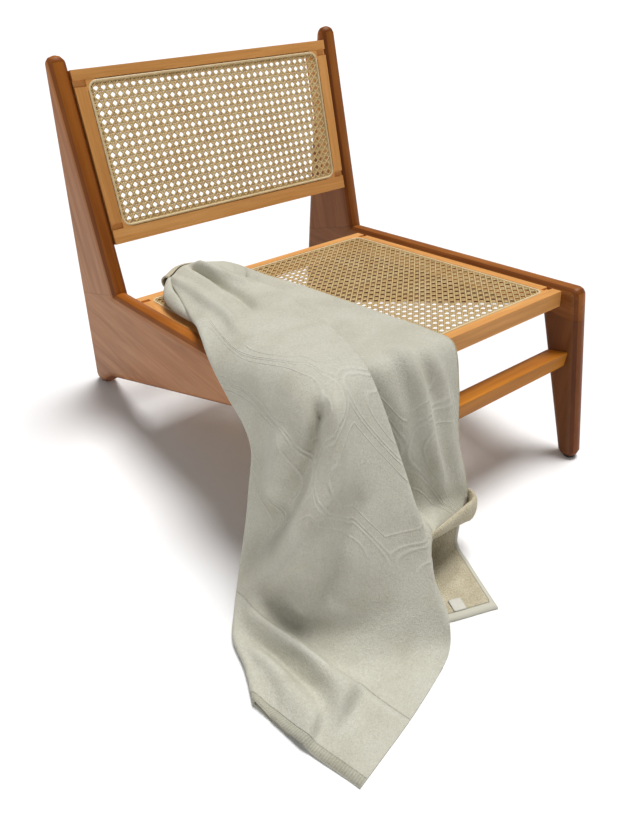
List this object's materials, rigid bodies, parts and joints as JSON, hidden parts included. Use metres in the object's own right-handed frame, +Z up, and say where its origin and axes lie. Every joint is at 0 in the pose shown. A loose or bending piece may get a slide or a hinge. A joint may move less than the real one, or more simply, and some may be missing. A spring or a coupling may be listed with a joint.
{
  "type": "beach towel draped over a low cane lounge chair",
  "caption": "Beach towel folded double and draped over the front corner of a low lounge chair with cane seat and back, its end spread on the floor.",
  "frame": {"origin": "centre of the whole part's base on the floor", "axes": "+Z up, +Y towards the chair's back, +X towards the chair's far side, away from the towel"},
  "size_m": [0.7518, 1.005, 0.619],
  "materials": {
    "towel": "soft velour outside, terry loops inside",
    "label": "plain woven",
    "wood": "satin",
    "cane": "satin",
    "glide": "matte"
  },
  "bodies": {
    "root": {"upright_near": "wood", "side_rail_near": "wood", "front_leg_near": "wood", "glide_front_near": "glide", "glide_rear_near": "glide", "upright_far": "wood", "side_rail_far": "wood", "front_leg_far": "wood", "glide_front_far": "glide", "glide_rear_far": "glide", "front_stretcher": "wood", "seat_rail_low": "wood", "seat_rail_high": "wood", "seat_rail_near": "wood", "seat_rail_far": "wood", "seat_cane": "cane", "back_rail_low": "wood", "back_rail_high": "wood", "back_rail_near": "wood", "back_rail_far": "wood", "back_cane": "cane", "towel": "towel", "label": "label"}
  },
  "joints": []
}
